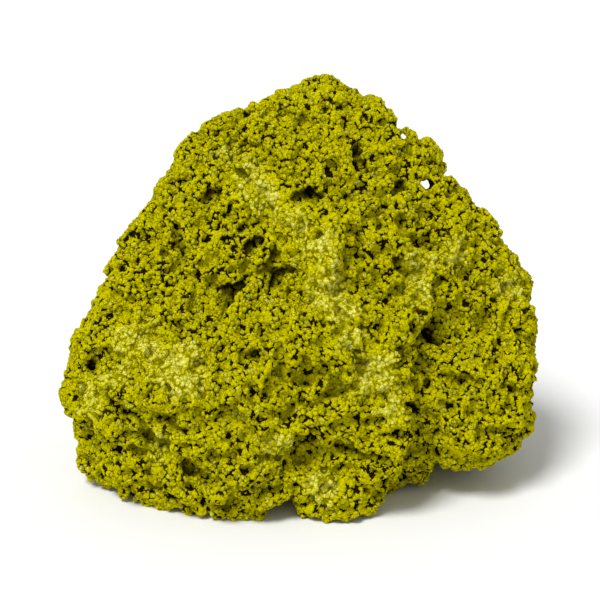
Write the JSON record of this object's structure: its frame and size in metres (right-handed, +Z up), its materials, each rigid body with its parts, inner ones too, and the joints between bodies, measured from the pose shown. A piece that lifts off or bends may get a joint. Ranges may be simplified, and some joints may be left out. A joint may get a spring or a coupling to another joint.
{
  "type": "nontronite specimen",
  "caption": "Hand-size lump of granular yellow-green clay mineral: a rough pyramid of fused grains with pits, ledges and a flat underside that it rests on.",
  "frame": {"origin": "middle of the lump's box, on the flat underside", "axes": "+X along the lump's width, the pictured side looks along -Y, +Z up"},
  "size_m": [0.0984, 0.07, 0.0815],
  "materials": {
    "nontronite": "dull earthy grains, olive to yellow-green, with paler rubbed patches and dark pits"
  },
  "bodies": {
    "root": {"nontronite_lump": "nontronite"}
  },
  "joints": []
}
